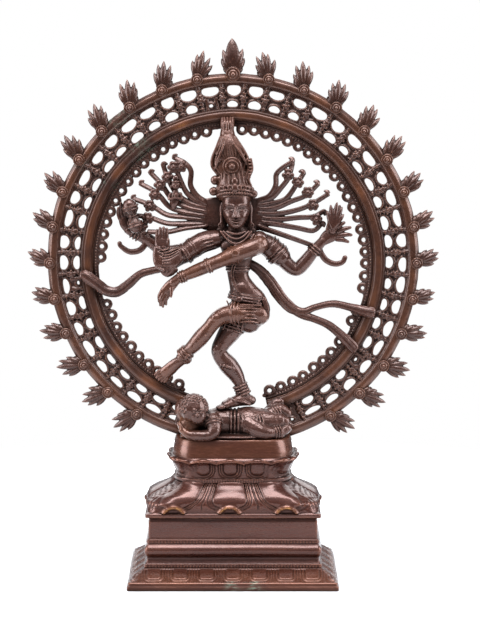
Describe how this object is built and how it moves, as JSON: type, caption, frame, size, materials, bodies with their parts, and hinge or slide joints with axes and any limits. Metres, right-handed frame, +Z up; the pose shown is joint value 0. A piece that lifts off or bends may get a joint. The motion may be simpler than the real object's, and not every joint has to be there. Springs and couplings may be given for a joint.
{
  "type": "brass dancing figure statue",
  "caption": "Cast brass many-armed dancer balanced on a dwarf, inside a pierced arch edged with flames, on a hollow double-lotus pedestal and moulded plinth.",
  "frame": {"origin": "centre of the plinth's underside, in the plane it rests on", "axes": "+Z up through the arch, +X to the viewer's right, -Y towards the front that the dancer faces"},
  "size_m": [0.2892, 0.106, 0.38],
  "materials": {
    "pedestal_brass": "cast brass with a dark red-brown patina, rubbed brighter on the mouldings",
    "arch_brass": "cast brass with a dark brown patina, orange-brown on the worn rims",
    "figure_brass": "cast brass with a dark brown patina, coppery on arms, knees and face",
    "fastener_steel": "plain zinc-plated steel, dulled"
  },
  "bodies": {
    "root": {"plinth": "pedestal_brass", "lotus_pedestal": "pedestal_brass", "pedestal_screws": "fastener_steel", "pedestal_washers": "fastener_steel", "dwarf_studs": "fastener_steel", "dwarf_nuts": "fastener_steel", "tang_pins": "fastener_steel", "arch_outer_rim": "arch_brass", "arch_inner_rim": "arch_brass", "arch_lattice": "arch_brass", "arch_loop_border": "arch_brass", "flame_01": "arch_brass", "flame_02": "arch_brass", "flame_03": "arch_brass", "flame_04": "arch_brass", "flame_05": "arch_brass", "flame_06": "arch_brass", "flame_07": "arch_brass", "flame_08": "arch_brass", "flame_09": "arch_brass", "flame_10": "arch_brass", "flame_11": "arch_brass", "flame_12": "arch_brass", "flame_13": "arch_brass", "flame_14": "arch_brass", "flame_15": "arch_brass", "flame_16": "arch_brass", "flame_17": "arch_brass", "flame_18": "arch_brass", "flame_19": "arch_brass", "flame_20": "arch_brass", "flame_21": "arch_brass", "flame_22": "arch_brass", "flame_23": "arch_brass", "flame_24": "arch_brass", "flame_25": "arch_brass", "flame_26": "arch_brass", "flame_27": "arch_brass", "arch_foot_left": "arch_brass", "arch_foot_right": "arch_brass", "dancer_torso": "figure_brass", "dancer_head": "figure_brass", "crown": "figure_brass", "hair_fan_left": "figure_brass", "hair_fan_right": "figure_brass", "ganga_figure": "figure_brass", "front_right_arm": "figure_brass", "front_left_arm": "figure_brass", "rear_right_arm": "figure_brass", "rear_left_arm": "figure_brass", "hand_drum": "figure_brass", "hand_flame": "figure_brass", "arm_cobra": "figure_brass", "standing_leg": "figure_brass", "raised_leg": "figure_brass", "sash_left": "figure_brass", "sash_right": "figure_brass", "dwarf": "figure_brass"}
  },
  "joints": []
}
